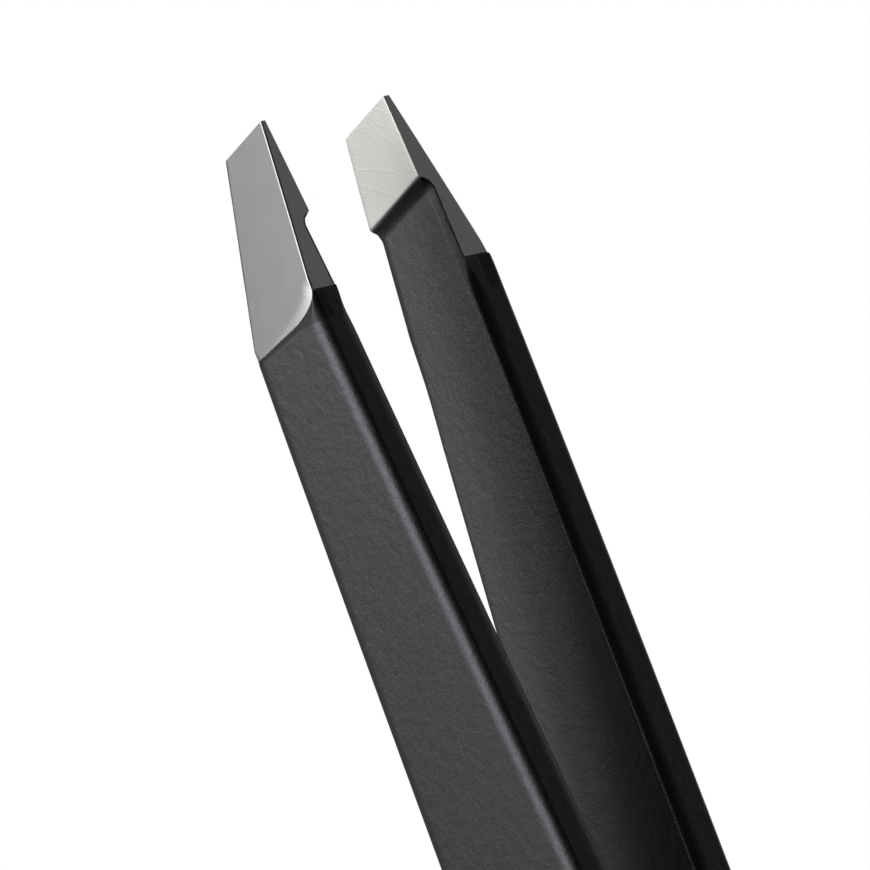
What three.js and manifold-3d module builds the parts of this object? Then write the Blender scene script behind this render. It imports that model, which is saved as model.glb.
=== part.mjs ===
// Slant tweezers: two stamped steel blades, spot-welded face to face at the heel, powder-coated
// except at the ground tips. Millimetres. X is across the opening, Y runs from heel to tips,
// Z is the width of the blades. The origin is the middle of the bottom of the box that holds the
// tool, so the tool lies on its side edges on the plane Z = 0.
//
// A blade is a flat spring that bends along its whole free length. Each one is split, a seventh
// of the way up, at the place where a single hinge gives its tip the same path, so each blade
// has a heel part, which stays, and a long part, which swings.
//
// Shapes are built with Y = 0 at the heel end and Z = 0 at half the width, and moved at the end.

import * as THREE from "three";
import { mergeVertices } from "three/addons/utils/BufferGeometryUtils.js";
import Module from "manifold-3d";

const wasm = await Module();
wasm.setup();

// --- Driving dimensions -------------------------------------------------------------------

const LENGTH = 95; // heel end to the apex of the slanted tips
const COAT = 0.1; // thickness of the powder coat
const FILM_GAP = 0.01; // between the coat and the steel, and behind the two welded faces

const STRIP = 2.05; // a coated blade's thickness, from the tip down to the grip
const HEEL_STRIP = 1.5; // its thickness at the weld, where it is rolled thinner to flex
const THIN_FROM = 45; // Y at which the blade starts to thin towards the weld

const OUTER_EDGE_R = 0.5; // rounding of the long outer edges
const INNER_EDGE = 0.1; // chamfer of the long inner edges

const COAT_LINE = 8.46; // depth below the apex at which the side faces turn from bare to coated
const SLANT = 15; // degrees, of the tip and of the pad's heel

// Half width of the tapering blade, going down from the coat line, and of the bare tip's front and
// back sides, going down from the apex: start + slope * distance - curve * distance^2.
const TAPER = { start: 2.5, slope: 0.0625, curve: 0.0001 };
const TIP_FRONT = { start: 1.61, slope: 0.1105, curve: 0.0011 };
const TIP_BACK = { start: 1.6, slope: 0.152, curve: 0.0059 };

const TAPER_END = 33; // distance below the coat line at which the taper starts to fade
const ROLL_OFF = 5.2; // length in which it fades into side edges parallel to the middle
const PARALLEL_FROM = 33; // Y at which the parallel side edges start, coming from the heel
const HEEL_HALF_WIDTH = 3.3;
const HEEL_CORNER_R = 2.4;

// Distance from the middle plane to the coated inner face, going down from the coat line.
const BOW = { start: 4.05, slope: -0.042, curve: 0.000218 };
const BEND_END = 18; // Y at which the bend above the weld runs out into that long bow

const PAD_X = 3.85; // from the middle plane to the gripping pad at the apex
const PAD_LEAN = 0.028; // how fast the pad closes in on the middle plane, going down
const PAD_LENGTH = { left: 4.75, right: 4.22 }; // apex to the pad's heel along the front edge
const STEP_RUN = 0.35; // length of the sloping step from the pad's heel to the recess
// Depths of the recess behind the pad: it starts inside the pad's stock, which ends at stockEnd,
// and its floor runs to floorEnd and comes out of the blank's inner face before runOut.
const RECESS = { start: 3, stockEnd: 7, floorEnd: 7.3, runOut: 9, rise: 0.1 };

const FACET_X = 4.052; // outer facet's distance from the middle plane, level with the apex
const FACET_RISE = 0.187; // how fast it moves out, going down
const FACET_ROLL = 0.03; // how fast it moves out, going across towards the front edge
const FACET_END = { front: 9.6, back: 10.24 }; // depths at which the bare facet meets the coat
const FACET_CORNER_R = 1.3; // rounding of the bare facet's lower front corner

const BEVEL_TOP = { depth: 0.9, x: 4.18, z: -1.37 }; // line where the bevel of the outer back
const BEVEL_END = { depth: 10, x: 5.87, z: -2.36 }; // edge meets the facet
const BEVEL_TILT = 47; // degrees from the outward direction to that bevel's normal

const PIVOT_SHARE = 0.15; // share of the free length from the weld to the equivalent hinge
const SPLIT_GAP = 0.3; // clearance between the heel part and the swinging part

const NUGGET_R = 1.5; // weld nuggets, each let into both blades
const NUGGET_DEPTH = 0.42;
const NUGGET_CLEARANCE = 0.03;
const NUGGET_Y = { rear: 3.2, front: 7.6 }; // distance of each from the heel end

const BIG = 120; // side of the blocks that stand for half spaces
const OUT_OF_REACH = 20; // a distance beyond every part of a blade's section

// --- One blade's outline, as functions of the distance Y from the heel end ------------------

// A slowly curving slope: its value at a distance from where it starts.
function curved({ start, slope, curve }, distance) {
  return start + slope * distance - curve * distance * distance;
}

const coatLineY = LENGTH - COAT_LINE;
const slantSlope = Math.tan(THREE.MathUtils.degToRad(SLANT));

// Distance from the middle plane to the coated inner face along the free blade: a gentle bow.
function bow(y) {
  return curved(BOW, coatLineY - y);
}

const bendSlope = -BOW.slope + 2 * BOW.curve * (coatLineY - BEND_END);
const weldEnd = BEND_END - (2 * (bow(BEND_END) + COAT)) / bendSlope;
const pivotY = weldEnd + PIVOT_SHARE * (LENGTH - weldEnd);

// The steel's inner face: flat where the blades are welded, then an arc, then the bow.
function steelInner(y) {
  if (y >= BEND_END) return bow(y) + COAT;
  const run = Math.max(0, y - weldEnd);
  return Math.max(FILM_GAP, (bendSlope * run * run) / (2 * (BEND_END - weldEnd)));
}

function thickness(y) {
  const share = THREE.MathUtils.smoothstep(y, weldEnd, THIN_FROM);
  return THREE.MathUtils.lerp(HEEL_STRIP, STRIP, share);
}

const taperSlope = TAPER.slope - 2 * TAPER.curve * TAPER_END;
const parallelTo = coatLineY - TAPER_END - ROLL_OFF;
const widest = curved(TAPER, TAPER_END) + (taperSlope * ROLL_OFF) / 2;

// Half the coated blade's width, from the heel end up to the coat line.
function coatedHalfWidth(y) {
  const down = coatLineY - y;
  if (down <= TAPER_END) return curved(TAPER, down);
  if (y >= parallelTo) {
    const run = y - parallelTo;
    return widest - (taperSlope * run * run) / (2 * ROLL_OFF);
  }
  if (y >= PARALLEL_FROM) return widest;
  const t = 1 - y / PARALLEL_FROM;
  return widest - (widest - HEEL_HALF_WIDTH) * (1.5 * t * t - 0.5 * t * t * t);
}

// Height of the front and back side faces; above the coat line they are ground separately.
function sides(y) {
  const depth = LENGTH - y;
  if (depth >= COAT_LINE) return { front: coatedHalfWidth(y), back: -coatedHalfWidth(y) };
  return { front: curved(TIP_FRONT, depth), back: -curved(TIP_BACK, depth) };
}

// --- Solids -------------------------------------------------------------------------------

function solidOf(geometry) {
  geometry.deleteAttribute("normal");
  geometry.deleteAttribute("uv");
  const merged = mergeVertices(geometry, 1e-5);
  const mesh = new wasm.Mesh({
    numProp: 3,
    vertProperties: merged.attributes.position.array,
    triVerts: new Uint32Array(merged.index.array),
  });
  return new wasm.Manifold(mesh);
}

function geometryOf(solid) {
  const mesh = solid.getMesh();
  const geometry = new THREE.BufferGeometry();
  geometry.setAttribute("position", new THREE.BufferAttribute(mesh.vertProperties, 3));
  geometry.setIndex(new THREE.BufferAttribute(mesh.triVerts, 1));
  geometry.computeVertexNormals();
  return geometry;
}

// A closed skin over rings of equal point counts, which run anticlockwise seen from the tips.
function loft(rings) {
  const count = rings[0].length;
  const index = [];
  for (let i = 0; i + 1 < rings.length; i++) {
    for (let j = 0; j < count; j++) {
      const a = i * count + j;
      const b = i * count + ((j + 1) % count);
      index.push(a, b, a + count, b, b + count, a + count);
    }
  }
  const last = (rings.length - 1) * count;
  for (let j = 1; j + 1 < count; j++) {
    index.push(0, j + 1, j);
    index.push(last, last + j, last + j + 1);
  }
  const geometry = new THREE.BufferGeometry().setFromPoints(rings.flat());
  geometry.setIndex(index);
  return solidOf(geometry);
}

// Everything on the side of a plane through point that normal points to.
function halfSpace(point, normal) {
  const toNormal = new THREE.Quaternion().setFromUnitVectors(
    new THREE.Vector3(0, 0, 1),
    normal.clone().normalize(),
  );
  const block = new THREE.BoxGeometry(BIG, BIG, BIG);
  block.translate(0, 0, BIG / 2);
  block.applyQuaternion(toNormal);
  block.translate(point.x, point.y, point.z);
  return solidOf(block);
}

// A prism along Z over an outline of [x, y] points.
function prismAlongZ(outline) {
  const shape = new THREE.Shape(outline.map(([x, y]) => new THREE.Vector2(x, y)));
  const prism = new THREE.ExtrudeGeometry(shape, { depth: BIG, bevelEnabled: false });
  prism.translate(0, 0, -BIG / 2);
  return solidOf(prism);
}

// --- The blade's body, bounded by the outline moved inwards by inset -------------------------

// One ring of the section at Y: two chamfered inner corners and two rounded outer ones.
function section(y, inset) {
  const { front, back } = sides(y);
  let top = front - inset;
  let bottom = back + inset;
  const fromEnd = HEEL_CORNER_R - y;
  if (fromEnd > 0) {
    const r = HEEL_CORNER_R - inset;
    const lost = HEEL_CORNER_R - Math.sqrt(Math.max(0, r * r - fromEnd * fromEnd)) - inset;
    top -= lost;
    bottom += lost;
  }
  const depth = LENGTH - y;
  const blank = steelInner(y) - COAT;
  const uncut = depth < RECESS.stockEnd ? PAD_X - PAD_LEAN * depth : blank;
  const inner = uncut + inset;
  const outer = blank + thickness(y) - inset;
  const r = OUTER_EDGE_R - inset;
  const c = INNER_EDGE;
  const ring = [];
  const point = (x, z) => ring.push(new THREE.Vector3(x, y, z));
  point(inner, bottom + c);
  point(inner, top - c);
  point(inner + c, top);
  for (const angle of [90, 60, 30, 0]) {
    const a = THREE.MathUtils.degToRad(angle);
    point(outer - r + r * Math.cos(a), top - r + r * Math.sin(a));
  }
  for (const angle of [0, 30, 60, 90]) {
    const a = THREE.MathUtils.degToRad(angle);
    point(outer - r + r * Math.cos(a), bottom + r - r * Math.sin(a));
  }
  point(inner + c, bottom);
  return ring;
}

// Places from one up to the next, in equal steps, without the last.
function between(from, to, steps) {
  return Array.from({ length: steps }, (_, i) => from + ((to - from) * i) / steps);
}

// Distances from the heel end at which the sections stand.
function stations(inset) {
  const r = HEEL_CORNER_R - inset;
  const turns = between(0, Math.PI / 2, 4);
  const taperTop = parallelTo + ROLL_OFF;
  return [
    ...turns.map((turn) => HEEL_CORNER_R - r * Math.cos(turn)),
    ...between(HEEL_CORNER_R, weldEnd, 3),
    ...between(weldEnd, BEND_END, 4),
    ...between(BEND_END, PARALLEL_FROM, 4),
    ...between(PARALLEL_FROM, parallelTo, 2),
    ...between(parallelTo, taperTop, 2),
    ...between(taperTop, coatLineY, 5),
    coatLineY,
    LENGTH - RECESS.floorEnd,
    ...between(LENGTH - RECESS.stockEnd + FILM_GAP, LENGTH, 3),
    LENGTH + 1,
  ];
}

const inward = new THREE.Vector3(-1, 0, 0);

// The outer facet: steep towards the tip, and turned a little towards the back edge.
const facetPoint = new THREE.Vector3(FACET_X, LENGTH, 0);
const facetNormal = new THREE.Vector3(1, FACET_RISE, -FACET_ROLL).normalize();

function bevelPlane() {
  const top = new THREE.Vector3(BEVEL_TOP.x, LENGTH - BEVEL_TOP.depth, BEVEL_TOP.z);
  const end = new THREE.Vector3(BEVEL_END.x, LENGTH - BEVEL_END.depth, BEVEL_END.z);
  const tilt = THREE.MathUtils.degToRad(BEVEL_TILT);
  const outwards = new THREE.Vector3(Math.cos(tilt), 0, -Math.sin(tilt));
  const along = end.clone().sub(top).normalize();
  const normal = outwards.clone().addScaledVector(along, -outwards.dot(along)).normalize();
  return { point: top, normal };
}

// The plane across the pad's heel; its normal points to the tip.
function padHeel(side, slope = 0) {
  const y = LENGTH - PAD_LENGTH[side];
  const front = sides(y).front;
  return {
    point: new THREE.Vector3(PAD_X - PAD_LEAN * PAD_LENGTH[side], y, front),
    normal: new THREE.Vector3(slope, 1, -slantSlope).normalize(),
  };
}

// Cuts the tip's slant, outer facet, back bevel and the recess behind the pad out of the blank.
function body(side, inset) {
  let solid = loft(stations(inset).map((y) => section(y, inset)));

  const apex = new THREE.Vector3(PAD_X, LENGTH, sides(LENGTH).front);
  solid = solid.subtract(halfSpace(apex, new THREE.Vector3(0, 1, -slantSlope)));

  const onFacet = facetPoint.clone().addScaledVector(facetNormal, -inset);
  solid = solid.subtract(halfSpace(onFacet, facetNormal));

  const bevel = bevelPlane();
  bevel.point.addScaledVector(bevel.normal, -inset);
  solid = solid.subtract(halfSpace(bevel.point, bevel.normal));

  const floorTop = bow(LENGTH - RECESS.start) + inset;
  const floorEnd = bow(LENGTH - RECESS.floorEnd) + inset;
  const recess = prismAlongZ([
    [-OUT_OF_REACH, LENGTH - RECESS.runOut],
    [floorEnd - RECESS.rise, LENGTH - RECESS.runOut],
    [floorEnd, LENGTH - RECESS.floorEnd],
    [floorTop, LENGTH - RECESS.start],
    [-OUT_OF_REACH, LENGTH - RECESS.start],
  ]);
  const depthOfStep = floorTop - (PAD_X - PAD_LEAN * PAD_LENGTH[side]);
  const step = padHeel(side, STEP_RUN / depthOfStep);
  step.point.addScaledVector(step.normal, -inset);
  return solid.subtract(recess.subtract(halfSpace(step.point, step.normal)));
}

// --- Where the coat has been ground away ------------------------------------------------------

// The region in which a blade is bare, grown by a clearance: everything above the pad's heel, the
// side faces above the coat line, and the outer facet down to its curved lower edge.
function bareRegion(side, clearance) {
  const heel = padHeel(side);
  const above = halfSpace(heel.point.addScaledVector(heel.normal, -clearance), heel.normal);

  const underCoat = (y) => bow(y) + COAT - clearance;
  const flanks = prismAlongZ([
    [underCoat(coatLineY), coatLineY - clearance],
    [OUT_OF_REACH, coatLineY - clearance],
    [OUT_OF_REACH, LENGTH],
    [underCoat(LENGTH), LENGTH],
  ]);
  return above.add(flanks).add(facetRegion(clearance));
}

// A prism along X over the bare facet: its lower edge slopes down to the back, and turns up into
// the coat line at the front with a round corner.
function facetRegion(clearance) {
  const reach = OUT_OF_REACH / 2;
  const front = coatedHalfWidth(coatLineY);
  const frontDepth = FACET_END.front + clearance;
  const fall = (FACET_END.back - FACET_END.front) / (2 * front);
  const r = FACET_CORNER_R;
  const centreZ = front - r;
  const lineDepth = (z) => frontDepth + fall * (front - z);
  const centreDepth = lineDepth(centreZ) - r * Math.sqrt(1 + fall * fall);
  const turn = Math.atan(fall);
  const shape = new THREE.Shape();
  shape.moveTo(reach, -COAT_LINE + reach);
  shape.lineTo(-reach, -COAT_LINE + reach);
  shape.lineTo(-reach, -lineDepth(-reach));
  shape.absarc(centreZ, -centreDepth, r, -Math.PI / 2 + turn, 0, false);
  shape.lineTo(centreZ + r, -COAT_LINE + clearance);
  shape.lineTo(reach, -COAT_LINE + clearance);
  const prism = new THREE.ExtrudeGeometry(shape, {
    depth: reach,
    bevelEnabled: false,
    curveSegments: 4,
  });
  // The shape's x is the blade's Z, and its y is the height above the apex.
  prism.applyMatrix4(new THREE.Matrix4().makeBasis(
    new THREE.Vector3(0, 0, 1),
    new THREE.Vector3(0, 1, 0),
    inward,
  ));
  prism.translate(reach + bow(LENGTH) + STRIP / 4, LENGTH, 0);
  return solidOf(prism);
}

// --- Pieces -------------------------------------------------------------------------------

const steel = { color: 0x9a9894, roughness: 0.35, metalness: 1 };
const powderCoat = { color: 0x242427, roughness: 0.6, metalness: 0 };

const tweezers = new THREE.Group();
tweezers.position.set(0, -LENGTH / 2, widest);

function addPiece(name, solid, finish, mirrored = false) {
  const mesh = new THREE.Mesh(geometryOf(solid), new THREE.MeshStandardMaterial(finish));
  mesh.name = name;
  if (mirrored) mesh.scale.x = -1;
  tweezers.add(mesh);
}

// A nugget or the pocket that holds it: a disc across the middle plane.
function nugget(y, extra) {
  const depth = 2 * (NUGGET_DEPTH + extra);
  const disc = new THREE.CylinderGeometry(NUGGET_R + extra, NUGGET_R + extra, depth, 20);
  disc.rotateZ(Math.PI / 2);
  disc.translate(0, y, 0);
  return solidOf(disc);
}

const towardsTips = new THREE.Vector3(0, 1, 0);
const towardsHeel = new THREE.Vector3(0, -1, 0);
const swings = halfSpace(new THREE.Vector3(0, pivotY + SPLIT_GAP / 2, 0), towardsTips);
const stays = halfSpace(new THREE.Vector3(0, pivotY - SPLIT_GAP / 2, 0), towardsHeel);
const beyondMiddle = halfSpace(new THREE.Vector3(FILM_GAP, 0, 0), inward);

for (const side of ["left", "right"]) {
  const mirrored = side === "left";
  const finished = body(side, 0);
  const core = body(side, COAT);
  const blade = core.add(finished.intersect(bareRegion(side, 0)));
  const coat = finished
    .subtract(body(side, COAT - FILM_GAP))
    .subtract(bareRegion(side, FILM_GAP))
    .subtract(beyondMiddle);

  let heel = blade.intersect(stays);
  for (const y of Object.values(NUGGET_Y)) heel = heel.subtract(nugget(y, NUGGET_CLEARANCE));

  addPiece(side + "_blade", blade.intersect(swings), steel, mirrored);
  addPiece(side + "_blade_heel", heel, steel, mirrored);
  addPiece(side + "_coating", coat.intersect(swings), powderCoat, mirrored);
  addPiece(side + "_coating_heel", coat.intersect(stays), powderCoat, mirrored);
}

for (const [place, y] of Object.entries(NUGGET_Y)) {
  addPiece("weld_nugget_" + place, nugget(y, 0), steel);
}

export default tweezers;
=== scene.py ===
"""Slant tweezers: two powder-coated spring blades with bare ground tips.

Each blade is one smooth steel body and one coat over it. Both come from the same surface, a
closed ring of columns carried along the blade in rows. The rows follow the lines where the finish
changes, so the edge of the coat, the heel of the gripping pad and the slanted tip all fall on mesh
edges.

A blade is worked out in millimetres: x from the middle plane, y from the heel end, z from half
the width, for the right blade. The left one is its mirror image, a little thinner and with a
longer pad.
"""

import math

import bpy
import numpy as np
from mathutils import Matrix, Vector


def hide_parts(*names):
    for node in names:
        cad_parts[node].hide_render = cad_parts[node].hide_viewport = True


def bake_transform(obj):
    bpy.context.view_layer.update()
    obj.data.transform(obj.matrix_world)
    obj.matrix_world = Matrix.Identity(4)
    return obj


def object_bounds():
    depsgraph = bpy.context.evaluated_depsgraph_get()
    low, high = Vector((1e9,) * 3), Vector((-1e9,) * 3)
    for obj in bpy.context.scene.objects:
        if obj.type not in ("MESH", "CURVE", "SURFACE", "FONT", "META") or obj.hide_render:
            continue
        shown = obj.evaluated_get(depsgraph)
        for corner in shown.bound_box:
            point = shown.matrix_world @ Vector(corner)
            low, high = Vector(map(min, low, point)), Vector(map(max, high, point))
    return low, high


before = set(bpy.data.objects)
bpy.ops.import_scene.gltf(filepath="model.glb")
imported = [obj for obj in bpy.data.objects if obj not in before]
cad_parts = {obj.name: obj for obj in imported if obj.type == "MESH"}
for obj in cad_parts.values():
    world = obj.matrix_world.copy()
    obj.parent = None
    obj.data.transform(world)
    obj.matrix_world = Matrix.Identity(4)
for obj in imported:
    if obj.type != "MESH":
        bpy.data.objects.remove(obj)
CAD_LOW, CAD_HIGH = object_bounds()

# --- Sizes, in millimetres ---------------------------------------------------

MM = 0.001
HEEL_Y = CAD_LOW.y / MM
MIDDLE_Z = (CAD_LOW.z + CAD_HIGH.z) / 2 / MM
LENGTH = (CAD_HIGH.y - CAD_LOW.y) / MM

COAT = 0.1  # the coat's thickness
COAT_BED = 0.09  # from the coat's face to its underside, which leaves a film of air on the steel
SEAM = 0.002  # from the middle plane to the coat along the weld seam
FILM_GAP = 0.01  # from the middle plane to the welded steel faces
STRIP = {"left": 2.2, "right": 2.38}  # a blade's coated thickness where it is thickest
THIN_FROM = 45.0  # the height of that place: it thins from there both to the weld and to the tip
TIP_THINNING = 0.2  # what it loses between there and the coat line
HEEL_STRIP = 1.5  # coated thickness at the weld
COAT_LINE = 8.46  # depth below the apex at which the front side turns from bare to coated
SLANT = math.tan(math.radians(15))  # of the tip and of the pad's heel

TAPER = (2.52, 0.0632, 0.0001)  # half width below the coat line: start, slope, curve
TIP_FRONT = (1.61, 0.1105, 0.0011)  # bare tip's front and back sides, below the apex
TIP_BACK = (1.6, 0.152, 0.0059)
BACK_FADE = 2.2  # distance from the coat line over which the back side turns into the blank's side
TAPER_END = 33.0  # below the coat line
ROLL_OFF = 3.6  # run below that, over which the taper levels off at the widest place
PARALLEL_FROM = 33.0  # where the widest part starts to narrow towards the heel
HEEL_HALF_WIDTH, HEEL_CORNER_R = 3.3, 2.4
END_R = 0.35  # rounding of the outer face into the heel end

BOW = (4.04, -0.042, 0.000215)  # coated inner face below the coat line: start, slope, curve
BEND_END = 18.0  # top of the bend in which the arms leave the weld

PAD_X, PAD_LEAN = 3.85, 0.028  # gripping pad: x at the apex, and its fall per depth
PAD_LENGTH = {"left": 4.75, "right": 4.22}
STEP = (-0.1, 0.05, 0.1, 0.72)  # below the pad: its slope grows from, to, and fades from, to
STEP_LENGTH = 0.88

FACET_X = {"left": 4.075, "right": 4.2}  # ground outer facet: x at the apex, at mid width
FACET_RISE, FACET_ROLL = 0.187, 0.036  # its rise per depth and per z
CREASE = 0.015  # softness of the crease between the facet and the outer face
FACET_EDGE = 0.08  # rounding of the facet's front edge
BEVEL_START, BEVEL_SLOPE = -1.39, -0.1088  # z of the back bevel's edge at the apex, and per depth
BEVEL = math.tan(math.radians(47))  # its slope against the facet
BEVEL_SOFT = 0.03  # softness of the bevel's edge
LEAST_TIP = 0.12  # the bevel never thins the tip below this

# Lower edge of the bare facet: its depth at mid width, and its rise to the front.
BARE_END = (9.795, 0.186)
BARE_CORNER = 1.9  # width over which that edge turns up into the front coat line
ROLL_WIDTH = (0.12, 0.75)  # the polished roll-off along that edge, at the back and at the front
ROLL_SPREAD = (-1.5, 2.2)  # the z between which it goes from one width to the other
ROLL_DROP = 0.09  # its drop, as a share of its width
ROLL_REACH = 2.0  # it stays within this distance above the coat line

OUTER_ROUND = (0.46, 0.80)  # coated outer edges: rounding along the side and along the face
INNER_ROUND = (0.7, 0.3)  # coated inner edges
CUT_ROUND = (0.4, 0.65)  # the same beside a ground side
CUT_TURN = 50.0  # the turn in degrees at which a ground side cuts that rounding off
CUT_FADE = (2.2, 6.0)  # below the coat line, the run into the whole inner edge: front and back
CUT_START = 0.35  # below the pad, the run in which the rounding begins
SEAM_ROUND = (0.22, 0.06)  # inner edges along the weld
SHARP = 0.03  # rounding of the ground edges
# What an inset leaves of an inner and of an outer rounding.
LEAST_ROUND, LEAST_OUTER_ROUND = 0.02, 0.05
TIP_EDGE = 0.02  # how far the edges of the slanted end are drawn in

NEAR_END = 0.9  # from the bare facet's lower edge to the last of the fine rows
RELAXED = 14.0  # depth of the first row that runs square across the blade
# Rows from guide to guide, given as a typical length, the first and last step, the most and the
# growth of a step. Beside a bare edge they start at the groove and go on in even steps.
PAD_ROWS = (0.015, 0.03, 0.16, 1.35)
STEP_ROWS = (0.085, 0.04)
TIP_ROWS = (3.4, 0.05, 0.03, 0.16, 1.2)
END_ROWS = (0.09, 0.045)
RELAX_ROWS = (4.6, 0.05, 0.9, 0.9, 1.3)
BLADE_ROWS = (0.9, 0.03, 1.1, 1.35)
CUT_INSET = 0.006  # of the coat where a ground side cuts it off
GROOVE, COAT_START = 0.02, 0.045  # from a bare edge to the bottom of its groove and to the coat
FILM_END = 13.8  # below this distance from the heel, no coat fits between the blades
LIP = (0.03, 0.008)  # how far the coat's first two rows are rounded down
PASSES = 12  # rounds in which the columns settle on the slanted rows
LINE_SAMPLES = 240  # points along the lower edge of the bare facet
SHARP_ANGLE = math.radians(38)

coat_line_y = LENGTH - COAT_LINE


def curved(values, run):
    start, slope, curve = values
    return start + slope * run - curve * run * run


def smoothstep(low, high, value):
    t = np.clip((value - low) / (high - low), 0, 1)
    return t * t * (3 - 2 * t)


def soft_min(a, b, width):
    share = np.clip(width - np.abs(a - b), 0, None) / width
    return np.minimum(a, b) - share * share * width / 4


# --- The blade's outline -----------------------------------------------------


def bow(y):
    return curved(BOW, coat_line_y - y)


bend_slope = -BOW[1] + 2 * BOW[2] * (coat_line_y - BEND_END)
weld_end = BEND_END - 2 * (bow(BEND_END) + COAT) / bend_slope
taper_slope = TAPER[1] - 2 * TAPER[2] * TAPER_END
parallel_to = coat_line_y - TAPER_END - ROLL_OFF
widest = curved(TAPER, TAPER_END) + taper_slope * ROLL_OFF / 2


def steel_inner(y):
    run = np.clip(y - weld_end, 0, None)
    bend = bend_slope * run * run / (2 * (BEND_END - weld_end))
    return np.where(y >= BEND_END, bow(y) + COAT, np.maximum(FILM_GAP, bend))


def thickness(y, side):
    to_tip = np.clip((y - THIN_FROM) / (coat_line_y - THIN_FROM), 0, 1)
    blade = HEEL_STRIP + (STRIP[side] - HEEL_STRIP) * smoothstep(weld_end, THIN_FROM, y)
    return blade - TIP_THINNING * to_tip


def coated_half_width(y):
    down = coat_line_y - y
    run = np.clip(y - parallel_to, 0, None)
    t = np.clip(1 - y / PARALLEL_FROM, 0, 1)
    heel = widest - (widest - HEEL_HALF_WIDTH) * (1.5 * t * t - 0.5 * t**3)
    fade = widest - taper_slope * run * run / (2 * ROLL_OFF)
    return np.where(down <= TAPER_END, curved(TAPER, down), np.where(run > 0, fade, heel))


def corner_loss(y, radius, inset):
    """How far a rounded corner at the heel end sets a side back at y."""
    r = radius - inset
    run = np.clip(radius - y, 0, r)
    return radius - inset - np.sqrt(r * r - run * run)


def sides(y, inset):
    depth = LENGTH - y
    coated = coated_half_width(y)
    bare = depth < COAT_LINE
    loss = inset + corner_loss(y, HEEL_CORNER_R, inset)
    front = np.where(bare, curved(TIP_FRONT, depth), coated) - loss
    to_coat = smoothstep(COAT_LINE - BACK_FADE, COAT_LINE + BACK_FADE, depth)
    back = loss - curved(TIP_BACK, depth) * (1 - to_coat) - coated * to_coat
    return front, back


def below_pad(y, z, side):
    """Distance below the slanted heel of the gripping pad."""
    heel = PAD_LENGTH[side]
    return LENGTH - y - heel - (curved(TIP_FRONT, heel) - z) * SLANT


def ramp(value, low, high):
    """Integral of a slope that grows from 0 to 1 between low and high."""
    above = [np.clip(value - edge, 0, None) ** 2 for edge in (low, high)]
    return (above[0] - above[1]) / (2 * (high - low))


def inner_face(y, z, side, inset):
    below = below_pad(y, z, side)
    a, b, c, d = STEP
    share = (ramp(below, a, b) - ramp(below, c, d)) / ((c + d - a - b) / 2)
    pad = PAD_X - PAD_LEAN * (LENGTH - y)
    floor = np.maximum(np.where(y < BEND_END, steel_inner(y) - COAT, bow(y)) + inset, SEAM)
    stepped = pad + inset + (floor - pad - inset) * np.clip(share, 0, 1)
    return np.where(below < a, pad + inset, stepped)


def facet(y, z, front, side, inset):
    """The ground outer facet, with its rounded front edge at front and the bevel of its back."""
    depth = LENGTH - y
    flat = FACET_X[side] + FACET_RISE * depth + FACET_ROLL * z - inset
    over = np.clip(z - (front - FACET_EDGE), 0, FACET_EDGE)
    flat = flat - (FACET_EDGE - np.sqrt(FACET_EDGE**2 - over**2))
    bevel_z = BEVEL_START + BEVEL_SLOPE * depth
    bevel = soft_min(flat, flat + (z - bevel_z) * BEVEL, BEVEL_SOFT)
    return np.maximum(bevel, PAD_X - PAD_LEAN * depth + LEAST_TIP)


def outer_face(y, side, inset):
    return steel_inner(y) - COAT + thickness(y, side) - inset - corner_loss(y, END_R, inset)


# --- The ring of columns -----------------------------------------------------

COLUMNS = (  # name and number of columns, once round the blade
    ("inner", 26), ("inner_front", 8), ("front", 12), ("outer_front", 14),
    ("outer", 34), ("outer_back", 12), ("back", 10), ("inner_back", 8),
)
names = np.concatenate([[name] * count for name, count in COLUMNS])
shares = np.concatenate([np.arange(count) / count for name, count in COLUMNS])
columns = len(names)
# The first columns of the two sides stand on the inner edges, where the coat is cut off.
on_edge = (names == "front") & (shares == 0)
is_inner = np.isin(names, ["inner", "inner_front", "inner_back"]) | on_edge
is_outer = np.isin(names, ["outer_front", "outer", "outer_back"])


def inner_rounding(y, z, side, inset):
    """The inner edges' rounding: its size in x and in z, and how far it turns to the side."""
    below = smoothstep(0.0, CUT_START, below_pad(y, z, side))
    at_front = z > 0
    line_y = np.where(at_front, coat_line_y, back_line_y)
    coated = smoothstep(0.0, np.where(at_front, *CUT_FADE), line_y - y)
    welded = 1 - smoothstep(weld_end, BEND_END, y)

    def size(cut, full, seam):
        finished = cut + coated * (full - cut) + welded * (seam - full)
        return np.maximum(SHARP + below * (finished - SHARP) - inset * coated, LEAST_ROUND)

    # A ground side cuts the rounding short.
    last = np.radians(90 + (CUT_TURN - 90) * below * (1 - coated))
    return (*map(size, CUT_ROUND, INNER_ROUND, SEAM_ROUND), last)


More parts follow.
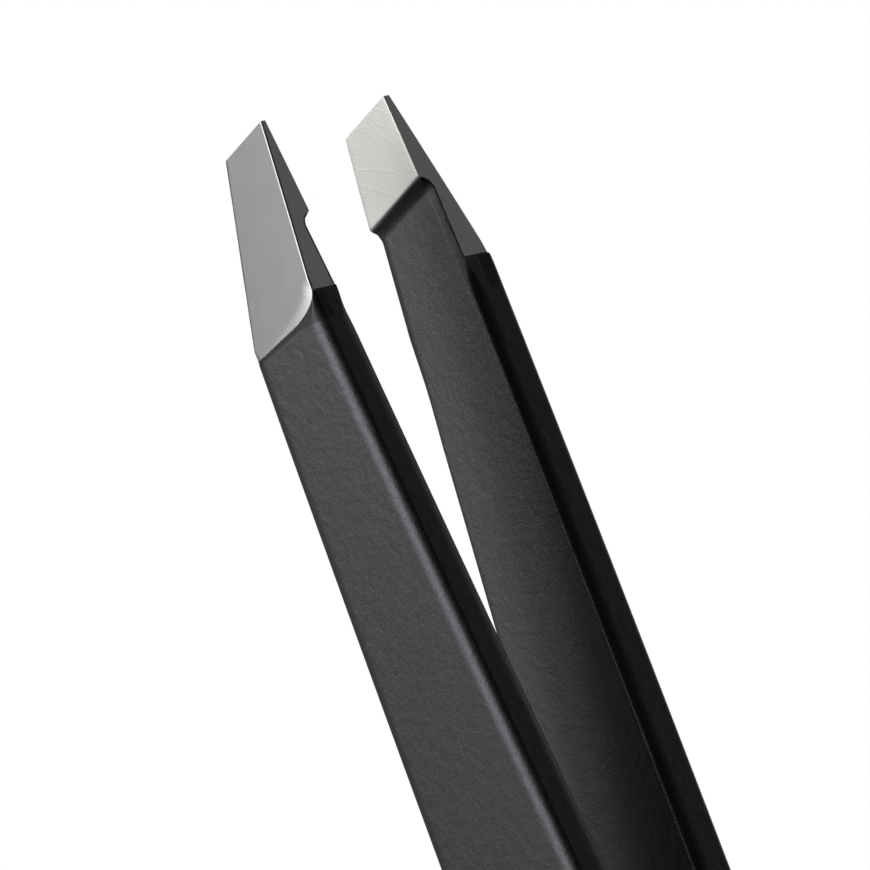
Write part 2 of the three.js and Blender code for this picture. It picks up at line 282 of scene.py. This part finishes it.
def section(y, z, side, inset, edge_inset):
    """x and z of every column at its own y; z is the last guess, which the faces are read at.

    inset sinks the inner and the outer face, and edge_inset the front and the back side.
    """
    x_in = inner_face(y, z, side, inset)
    front, back = sides(y, edge_inset)
    round_x, round_z, last = inner_rounding(y, z, side, inset)
    blank = outer_face(y, side, inset)
    edge_x, edge_z = (np.maximum(r - inset, LEAST_OUTER_ROUND) for r in OUTER_ROUND)

    def cut(x, at):
        return soft_min(x, facet(y, at, front, side, inset), CREASE)

    def inner_edge(share):
        turn = last * share
        return x_in + round_x * (1 - np.cos(turn)), round_z * (np.sin(last) - np.sin(turn))

    x_front, x_back = cut(blank - edge_x, front), cut(blank - edge_x, back)
    turn = shares * math.pi / 2
    sin, cos = np.sin(turn), np.cos(turn)
    of_z = front - edge_z * (1 - cos)
    out_z = front - edge_z + (back - front + 2 * edge_z) * shares
    ob_z = back + edge_z * (1 - sin)
    in_x, _ = inner_edge(1.0)
    rise_x, rise_z = inner_edge(shares)
    fall_x, fall_z = inner_edge(1 - shares)
    reach = round_z * np.sin(last)
    places = {
        "inner": (x_in, back + reach + (front - back - 2 * reach) * shares),
        "inner_front": (rise_x, front - rise_z),
        "front": (in_x + (x_front - in_x) * shares, front),
        "outer_front": (cut(blank - edge_x * (1 - sin), of_z), of_z),
        "outer": (cut(blank, out_z), out_z),
        "outer_back": (cut(blank - edge_x * (1 - cos), ob_z), ob_z),
        "back": (x_back + (in_x - x_back) * shares, back),
        "inner_back": (fall_x, back + fall_z),
    }
    x_new, z_new = np.zeros_like(y), np.zeros_like(y)
    for name, (px, pz) in places.items():
        at = names == name
        x_new[:, at] = np.broadcast_to(px, y.shape)[:, at]
        z_new[:, at] = np.broadcast_to(pz, y.shape)[:, at]
    return x_new, z_new


# --- The rows ----------------------------------------------------------------


def bare_end(z):
    """Depth of the lower edge of the bare facet."""
    middle, rise = BARE_END
    front = curved(TIP_FRONT, COAT_LINE)
    line = middle - rise * z
    reach = np.clip((z - front + BARE_CORNER) / BARE_CORNER, 0, 1)
    return line - (middle - rise * front - COAT_LINE) * (1 - np.sqrt(1 - reach * reach))


back_line_y = LENGTH - bare_end(-curved(TIP_FRONT, COAT_LINE))


def guides(z, side):
    """y of the lines that the rows run between, from the tip to the heel end."""
    front = curved(TIP_FRONT, COAT_LINE)
    tip = LENGTH - (curved(TIP_FRONT, 0) - z) * SLANT
    heel = PAD_LENGTH[side]
    pad = LENGTH - heel - (curved(TIP_FRONT, heel) - z) * SLANT
    across = np.clip((front - z) / (2 * front), 0, 1)
    slope = COAT_LINE + (bare_end(-front) - COAT_LINE) * across
    end = np.where(names == "front", COAT_LINE, np.where(is_outer, bare_end(z), slope))
    end = LENGTH - np.where(names == "back", bare_end(-front), end)
    square = np.ones_like(z)
    relaxed = (LENGTH - RELAXED) * square
    return [tip, pad, pad - STEP_LENGTH, end, end - NEAR_END, relaxed, 0 * square]


def steps(length, first, last, most, growth):
    """Shares of a length, in steps that grow from both of its ends up to most."""
    ends, sizes = [0.0, 0.0], [first, last]
    marks = ([], [])
    while ends[0] + ends[1] < length:
        near = 0 if sizes[0] <= sizes[1] else 1
        marks[near].append(ends[near])
        ends[near] += sizes[near]
        sizes[near] = min(sizes[near] * growth, most)
    places = marks[0] + [length - e for e in reversed(marks[1][1:])] + [length]
    return np.array(places) / length


def even_steps(length, start, step):
    """Shares of a length that starts at a bare edge: its groove, its coat, then even steps."""
    places = np.concatenate([[0, GROOVE, COAT_START], np.arange(start, length, step), [length]])
    return places / length


def row_places(side):
    """For every row, the guide it follows and its share of the way to the next; and the two rows
    that follow the pad's heel and the lower edge of the bare facet."""
    spans = [
        steps(PAD_LENGTH[side], *PAD_ROWS),
        even_steps(STEP_LENGTH, *STEP_ROWS),
        steps(*TIP_ROWS),
        even_steps(NEAR_END, *END_ROWS),
        steps(*RELAX_ROWS),
        steps(LENGTH - RELAXED, *BLADE_ROWS),
    ]
    guide, share = [], []
    for i, span in enumerate(spans):
        guide += [i] * (len(span) - 1)
        share += list(span[:-1])
    guide.append(len(spans) - 1)
    share.append(1.0)
    guide, share = np.array(guide), np.array(share)
    return guide, share, int(np.argmax(guide == 1)), int(np.argmax(guide == 3))


def first_rows(inner_row, other_row):
    """The first row of every column, with one row for the inner face and one for the rest."""
    return np.where(is_inner, inner_row, other_row)


class Skin:
    """The surface of one blade at any depth below its finished face."""

    def __init__(self, side):
        self.side = side
        self.guide, self.share, self.pad_row, self.bare_row = row_places(side)
        self.rows = len(self.guide)

    def surface(self, inset, edge_inset):
        inset, edge_inset = (
            np.broadcast_to(value, (self.rows, columns)) for value in (inset, edge_inset)
        )
        y = np.full((self.rows, columns), LENGTH / 2)
        z = np.zeros_like(y)
        rows = np.arange(self.rows)
        for _ in range(PASSES):
            lines = np.array(guides(z, self.side))
            start, stop = lines[self.guide, rows], lines[self.guide + 1, rows]
            y = start + (stop - start) * self.share[:, None]
            y = y + edge_inset * np.clip(1 - y / HEEL_CORNER_R, 0, 1)
            x, z = section(y, z, self.side, inset, edge_inset)
        return np.stack([x, y, z], -1)


def roll_off(points, skin):
    """Sinks the bare facet towards its lower edge, where the polishing wheel ran over it."""
    z, depth = points[..., 2], LENGTH - points[..., 1]
    front = curved(TIP_FRONT, COAT_LINE)
    line_z = np.linspace(-front, front, LINE_SAMPLES)
    line_d = bare_end(line_z)
    on_facet = is_outer[None, :] & (np.arange(skin.rows)[:, None] <= skin.bare_row)
    on_facet &= depth > COAT_LINE - ROLL_REACH
    gap = np.hypot(z[on_facet][:, None] - line_z, depth[on_facet][:, None] - line_d).min(1)
    narrow, wide = ROLL_WIDTH
    span = narrow + (wide - narrow) * smoothstep(*ROLL_SPREAD, z[on_facet])
    drop = ROLL_DROP * span * np.clip(1 - gap / span, 0, 1) ** 2
    points[..., 0][on_facet] -= drop
    return points


# --- Meshes ------------------------------------------------------------------


def quads(rows):
    for t in range(rows - 1):
        for u in range(columns):
            v = (u + 1) % columns
            low, high = t * columns, (t + 1) * columns
            yield t, u, (low + u, low + v, high + v, high + u)


FACET_SHOWS = 0.02  # depth of the facet's cut at which its finish is whole
COATED_FROM = 1.0  # from the inner face at the coat line to where the outer face's finish starts


def make_piece(name, points, faces, side, materials, indices):
    """A mesh in the frame, in metres, from points in millimetres on the right blade."""
    used = sorted({v for face in faces for v in face})
    place = {v: i for i, v in enumerate(used)}
    rest = points[used]
    mirror = -1.0 if side == "left" else 1.0
    co = (rest * [mirror, 1, 1] + [0, HEEL_Y, MIDDLE_Z]) * MM
    mesh = bpy.data.meshes.new(name)
    order = (lambda f: f[::-1]) if side == "left" else (lambda f: f)
    corners = [tuple(place[v] for v in order(f)) for f in faces]
    mesh.from_pydata([tuple(c) for c in co], [], corners)
    mesh.validate()
    mesh.shade_smooth()
    mesh.set_sharp_from_angle(angle=SHARP_ANGLE)
    at_rest = mesh.attributes.new("rest_mm", "FLOAT_VECTOR", "POINT")
    at_rest.data.foreach_set("vector", (rest * [mirror, 1, 1]).astype(np.float32).ravel())
    x, y, z = rest.T
    # The facet is where its plane, read without its rounded front edge, cuts into the blank.
    flat = facet(y, np.minimum(z, 1.0), LENGTH, side, 0.0)
    on_outside = x > BOW[0] + COATED_FROM
    on_facet = smoothstep(0.0, FACET_SHOWS, outer_face(y, side, 0.0) - flat) * on_outside
    ground = mesh.attributes.new("on_facet", "FLOAT", "POINT")
    ground.data.foreach_set("value", on_facet.astype(np.float32))
    for material in materials:
        mesh.materials.append(material)
    mesh.polygons.foreach_set("material_index", indices)
    piece = bpy.data.objects.new(name, mesh)
    bpy.context.scene.collection.objects.link(piece)
    return piece


FACET, PAD, SIDE = range(3)  # places of the steel's finishes in its list of materials


def build_blade(side, materials):
    """The steel: bare where it is ground, and set back under the coat everywhere else."""
    skin = Skin(side)
    rows = np.arange(skin.rows)[:, None]
    covered = rows >= first_rows(skin.pad_row + 1, skin.bare_row + 1)
    inset = np.where(covered, COAT, 0.0)
    # Beside a ground side the steel comes up to it at full width, under the edge of the coat.
    to_inner = np.where(names == "front", 1 - shares, np.where(names == "back", shares, 0.0))
    half_bare = (rows > skin.pad_row) & (rows <= skin.bare_row)
    inset = np.where(half_bare, np.maximum(inset, COAT * to_inner), inset)
    edge_inset = np.where(rows > skin.bare_row, COAT, 0.0) * np.ones(columns)
    inset[0] = edge_inset[0] = TIP_EDGE
    surface = skin.surface(inset, edge_inset)
    x, y, z = np.moveaxis(surface, -1, 0)
    # The blank's rounded edge below the facet, which is finished like the side.
    rounded = (facet(y, z, sides(y, 0.0)[0], side, 0.0) - x > 2 * TIP_EDGE).ravel()
    points = roll_off(surface, skin).reshape(-1, 3)
    faces, indices = [], []
    for t, u, quad in quads(skin.rows):
        faces.append(quad)
        pad = names[u] == "inner" and t < skin.pad_row
        bare_facet = is_outer[u] and t < skin.bare_row and not rounded[list(quad)].any()
        indices.append(FACET if bare_facet else PAD if pad else SIDE)
    last = (skin.rows - 1) * columns
    faces.append(tuple(reversed(range(columns))))
    faces.append(tuple(range(last, last + columns)))
    indices += [SIDE, SIDE]
    return make_piece(side + "_blade_steel", points, faces, side, materials, indices)


def build_coat(side, material):
    """The coat: a closed shell from its face down to its underside, with a rounded lip."""
    skin = Skin(side)
    rows = np.arange(skin.rows)[:, None]
    start = first_rows(skin.pad_row + 2, skin.bare_row + 2)[None, :]
    lip = np.where(rows == start, LIP[0], np.where(rows == start + 1, LIP[1], 0.0))
    side_coated = rows > skin.bare_row
    surface = skin.surface(lip, np.where(side_coated, lip, CUT_INSET))
    face = surface.reshape(-1, 3)
    bed = skin.surface(COAT_BED, np.where(side_coated, COAT_BED, CUT_INSET)).reshape(-1, 3)
    count = len(face)
    in_coat = rows >= start
    between_arms = ((names == "inner") & (shares > 0))[None, :]
    in_coat &= ~(between_arms & (surface[..., 1] < FILM_END))
    flat = in_coat.ravel()
    outer = [quad for _, _, quad in quads(skin.rows) if all(flat[v] for v in quad)]
    last = (skin.rows - 1) * columns
    outer.append(tuple(last + u for u in range(columns) if flat[last + u]))
    # A dictionary keeps the edges in order, which a set would not.
    edges = {(a, b): True for f in outer for a, b in zip(f, f[1:] + f[:1])}
    faces = list(outer)
    faces += [tuple(count + v for v in reversed(f)) for f in outer]
    for a, b in edges:
        if (b, a) not in edges:
            faces.append((b, a, count + a, count + b))
    points = np.concatenate([face, bed])
    return make_piece(side + "_powder_coat", points, faces, side, [material], [0] * len(faces))


# --- Materials ---------------------------------------------------------------


class Nodes:
    """A short way to write a node tree."""

    def __init__(self, owner):
        owner.use_nodes = True
        self.tree = owner.node_tree
        self.tree.nodes.clear()

    def add(self, kind, settings=None, **inputs):
        node = self.tree.nodes.new("ShaderNode" + kind)
        for key, value in (settings or {}).items():
            setattr(node, key, value)
        for key, value in inputs.items():
            socket = node.inputs[int(key[1:])] if key[0] == "i" and key[1:].isdigit() \
                else node.inputs[key.replace("_", " ")]
            if isinstance(value, bpy.types.NodeSocket):
                self.tree.links.new(value, socket)
            else:
                socket.default_value = value
        return node

    def maths(self, operation, a, b=0.0, c=0.0):
        return self.add("Math", {"operation": operation}, i0=a, i1=b, i2=c).outputs[0]

    def vector(self, operation, a, b):
        node = self.add("VectorMath", {"operation": operation}, i0=a)
        if operation == "SCALE":
            node.inputs["Scale"].default_value = b
        elif isinstance(b, bpy.types.NodeSocket):
            self.tree.links.new(b, node.inputs[1])
        else:
            node.inputs[1].default_value = b
        return node.outputs["Value" if operation == "DOT_PRODUCT" else "Vector"]

    def range(self, value, low, high, to_low, to_high):
        return self.add("MapRange", {"interpolation_type": "SMOOTHSTEP"}, Value=value,
                        From_Min=low, From_Max=high, To_Min=to_low, To_Max=to_high).outputs[0]

    def noise(self, at, scale, detail=2.0, roughness=0.5):
        return self.add("TexNoise", Vector=at, Scale=scale, Detail=detail,
                        Roughness=roughness).outputs[0]

    def mix(self, share, a, b):
        node = self.add("Mix", {"data_type": "RGBA"}, Factor=share)
        for socket, value in zip((node.inputs[6], node.inputs[7]), (a, b)):
            if isinstance(value, bpy.types.NodeSocket):
                self.tree.links.new(value, socket)
            else:
                socket.default_value = (*value, 1)
        return node.outputs[2]

    def finish(self, shader, to="OutputMaterial"):
        output = self.add(to)
        self.tree.links.new(shader, output.inputs[0])


def new_material(name):
    material = bpy.data.materials.new(name)
    return material, Nodes(material)


def rest_position(nodes):
    return nodes.add("Attribute", {"attribute_name": "rest_mm"}).outputs["Vector"]


def along(nodes, at, turn, length):
    """Coordinates for marks that run along the z axis turned by an angle about the x axis."""
    return nodes.add("Mapping", {"vector_type": "TEXTURE"}, Vector=at, Rotation=(turn, 0, 0),
                     Scale=(1, 1, length)).outputs[0]


# The coat's wrinkles: scale and share of the height.
PEBBLE, GRAIN, FINE = (1.7, 0.7), (6.5, 0.15), (9.0, 0.11)
SWIRL = (1.3, 0.9)  # scale and reach of the bending that makes the wrinkles uneven
WRINKLE_HEIGHT, WRINKLE_STRENGTH = 0.05, 0.75
FACET_CALM, FACET_DULL = 0.75, 0.5  # what the facet's coat loses of its wrinkles and of its gloss
COAT_DARK, COAT_PALE = (0.0060, 0.0060, 0.0075), (0.0085, 0.0085, 0.0105)
COAT_ROUGHNESS, COAT_GLOSS, COAT_TINT = (0.40, 0.50), 0.85, (0.94, 0.93, 1.0, 1.0)


def powder_coat():
    """Satin black with a wrinkled, leathery face; smoother and duller on the ground facet."""
    material, n = new_material("powder_coat")
    at = rest_position(n)
    flat = n.add("Attribute", {"attribute_name": "on_facet"}).outputs["Fac"]
    rough_share = n.maths("SUBTRACT", 1.0, n.maths("MULTIPLY", flat, FACET_CALM))
    drift = n.add("TexNoise", Vector=at, Scale=SWIRL[0], Detail=2.0).outputs["Color"]
    swirl = n.vector("ADD", at, n.vector("SCALE", drift, SWIRL[1]))
    pebble = n.noise(swirl, PEBBLE[0], 3.0, 0.55)
    grain = n.noise(swirl, GRAIN[0], 3.0, 0.6)
    fine = n.noise(at, FINE[0], 1.0, 0.6)
    height = n.maths("ADD", n.maths("MULTIPLY", pebble, PEBBLE[1]),
                     n.maths("MULTIPLY", grain, GRAIN[1]))
    height = n.maths("ADD", height, n.maths("MULTIPLY", fine, FINE[1]))
    strength = n.maths("MULTIPLY", rough_share, WRINKLE_STRENGTH)
    bump = n.add("Bump", Strength=strength, Distance=WRINKLE_HEIGHT * MM, Height=height)
    tone = n.mix(n.range(grain, 0.35, 0.65, 0, 1), COAT_DARK, COAT_PALE)
    rough = n.range(grain, 0.3, 0.7, *COAT_ROUGHNESS)
    left = n.maths("SUBTRACT", 1.0, n.maths("MULTIPLY", flat, FACET_DULL))
    gloss = n.maths("MULTIPLY", left, COAT_GLOSS)
    n.finish(n.add("BsdfPrincipled", Base_Color=tone, Roughness=rough, Normal=bump.outputs[0],
                   Specular_IOR_Level=gloss, Specular_Tint=COAT_TINT).outputs[0])
    return material


UNEVEN = 0.02  # how far a ground finish's roughness strays from place to place
MARK_STRENGTH = 0.5


def steel(name, colour, roughness, marks, depth, tint=0.02):
    """Ground steel. marks gives the height of the grinding marks from the node tree."""
    material, n = new_material(name)
    at = rest_position(n)
    height = marks(n, at)
    cloud = n.noise(at, 0.7, 2.0)
    dark = tuple(c * (1 - 2 * tint) for c in colour)
    tone = n.mix(n.range(cloud, 0.3, 0.7, 0, 1), dark, colour)
    low, high = roughness * (1 - UNEVEN), roughness * (1 + UNEVEN)
    rough = n.range(n.noise(at, 5.0, 2.0), 0.3, 0.7, low, high)
    bump = n.add("Bump", Strength=MARK_STRENGTH, Distance=depth * MM, Height=height)
    n.finish(n.add("BsdfPrincipled", Base_Color=tone, Metallic=1.0, Roughness=rough,
                   Normal=bump.outputs[0]).outputs[0])
    return material


def satin_marks(n, at):
    return n.noise(along(n, at, math.radians(90), 7.0), 14.0, 2.0)


def pad_marks(n, at):
    """Scratches across the pad, sloping down to the front, and a few deeper curved ones."""
    drift = n.add("TexNoise", Vector=at, Scale=0.45, Detail=1.0).outputs["Color"]
    bent = n.vector("ADD", at, n.vector("MULTIPLY", drift, (0.0, 1.4, 0.5)))
    across = along(n, bent, math.radians(35), 12.0)
    fine = n.noise(across, 11.0, 3.0, 0.65)
    deep = n.range(n.noise(across, 4.6, 2.0, 0.5), 0.56, 0.68, 0, 1)
    return n.maths("ADD", n.maths("MULTIPLY", fine, 0.75), n.maths("MULTIPLY", deep, -0.22))


def side_marks(n, at):
    return n.noise(along(n, at, math.radians(90), 8.0), 20.0, 2.0)


# --- Stage -------------------------------------------------------------------

FLOOR_SIZE = 3.0
FLOOR_GAP = 0.02 * MM  # from the floor up to the tool
LOOK_AT = Vector((1.967, 31.839, 3.434)) * MM  # in the middle of the picture
VIEW_BACK = Vector((-0.692, -0.139, 0.708)).normalized()  # from there to the camera
VIEW_UP = Vector((0.160, 0.927, 0.339))
FRAME_WIDTH = 40.33 * MM  # what the picture spans
LENS, SENSOR = 600.0, 36.0  # long, because the photo has almost no perspective


def build_floor():
    """A floor that the camera sees as plain pale, and that lets all other light through."""
    mesh = bpy.data.meshes.new("floor")
    half = FLOOR_SIZE / 2
    corners = [(-half, -half, 0), (half, -half, 0), (half, half, 0), (-half, half, 0)]
    mesh.from_pydata(corners, [], [(0, 1, 2, 3)])
    floor = bpy.data.objects.new("floor", mesh)
    floor.location.z = -FLOOR_GAP
    bpy.context.scene.collection.objects.link(floor)
    material, n = new_material("pale_floor")
    seen = n.add("LightPath").outputs["Is Camera Ray"]
    pale = n.add("Emission", Color=(1, 1, 1, 1), Strength=1.0).outputs[0]
    clear = n.add("BsdfTransparent").outputs[0]
    n.finish(n.add("MixShader", i0=seen, i1=clear, i2=pale).outputs[0])
    mesh.materials.append(material)


LOBES = (  # soft light from all round: direction, strength, tightness
    ((-0.80, 0.32, -0.50), 0.16, 8.0),
    ((0.55, 0.60, -0.60), 0.30, 7.0),
    ((0.99, 0.14, -0.08), 0.65, 7.0),
    ((0.69, 0.14, 0.71), 0.008, 4.0),
)
BELOW, ABOVE = 0.18, 0.02  # light from below the tool and from above it
HORIZON = (-0.45, 0.2)  # heights between which one turns into the other


def build_world():
    """Soft light from the lobes and from below; the camera itself sees plain white."""
    world = bpy.data.worlds.new("studio")
    bpy.context.scene.world = world
    n = Nodes(world)
    direction = n.add("TexCoord").outputs["Generated"]
    height = n.add("SeparateXYZ", Vector=direction).outputs["Z"]
    total = n.range(height, *HORIZON, BELOW, ABOVE)
    for toward, strength, tight in LOBES:
        near = n.vector("DOT_PRODUCT", direction, tuple(Vector(toward).normalized()))
        lobe = n.maths("EXPONENT", n.maths("MULTIPLY", n.maths("SUBTRACT", near, 1.0), tight))
        total = n.maths("ADD", total, n.maths("MULTIPLY", lobe, strength))
    seen = n.add("LightPath").outputs["Is Camera Ray"]
    lit = n.add("Background", Strength=total, Color=(1, 1, 1, 1)).outputs[0]
    pale = n.add("Background", Strength=1.0, Color=(1, 1, 1, 1)).outputs[0]
    n.finish(n.add("MixShader", i0=seen, i1=lit, i2=pale).outputs[0], "OutputWorld")


SOFTBOXES = (  # name, direction, distance, size across, size upright, radiance
    ("left_softbox", (-0.97, 0.18, -0.13), 420, 420, 230, 3.7),
    ("left_card", (-0.85, 0.46, -0.42), 160, 90, 90, 3.0),
)


def build_softboxes():
    """Rectangular lights that face the tips; radiance is the brightness seen straight on."""
    for name, toward, distance, across, upright, radiance in SOFTBOXES:
        light = bpy.data.lights.new(name, "AREA")
        light.shape = "RECTANGLE"
        light.size, light.size_y = across * MM, upright * MM
        light.energy = radiance * math.pi * light.size * light.size_y
        lamp = bpy.data.objects.new(name, light)
        direction = Vector(toward).normalized()
        lamp.location = LOOK_AT + direction * distance * MM
        lamp.rotation_mode = "QUATERNION"
        lamp.rotation_quaternion = direction.to_track_quat("Z", "Y")
        lamp.visible_camera = False
        bpy.context.scene.collection.objects.link(lamp)


def build_camera():
    camera = bpy.data.cameras.new("camera")
    camera.lens, camera.sensor_width = LENS, SENSOR
    distance = FRAME_WIDTH * LENS / SENSOR
    camera.clip_start, camera.clip_end = distance / 10, distance * 10
    right = VIEW_UP.cross(VIEW_BACK).normalized()
    up = VIEW_BACK.cross(right)
    holder = bpy.data.objects.new("camera", camera)
    turn = Matrix((right, up, VIEW_BACK)).transposed()
    holder.matrix_world = Matrix.Translation(LOOK_AT + VIEW_BACK * distance) @ turn.to_4x4()
    bpy.context.scene.collection.objects.link(holder)
    bpy.context.scene.camera = holder


# --- The object --------------------------------------------------------------

# These colours stand in for light: the ground side is painted far lighter than steel is, as
# painted sheen, and the satin facet darker, as painted shade.
STEEL = (  # in the order of FACET, PAD, SIDE
    steel("satin_facet", (0.33, 0.33, 0.327), 0.33, satin_marks, 0.0004),
    steel("ground_pad", (0.525, 0.515, 0.50), 0.38, pad_marks, 0.0105),
    steel("ground_side", (0.94, 0.925, 0.895), 0.70, side_marks, 0.001),
)
COATING = powder_coat()
WELD = steel("weld", (0.42, 0.40, 0.38), 0.45, satin_marks, 0.004, 0.1)

for side in ("left", "right"):
    blade = build_blade(side, STEEL)
    coat = build_coat(side, COATING)
    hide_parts(side + "_blade", side + "_blade_heel")
    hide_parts(side + "_coating", side + "_coating_heel")
    for piece in (blade, coat):
        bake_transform(piece)

for name in ("weld_nugget_rear", "weld_nugget_front"):
    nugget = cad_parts[name]
    nugget.data.materials.clear()
    nugget.data.materials.append(WELD)

build_floor()
build_world()
build_softboxes()
build_camera()
bpy.context.scene.view_settings.view_transform = "Standard"
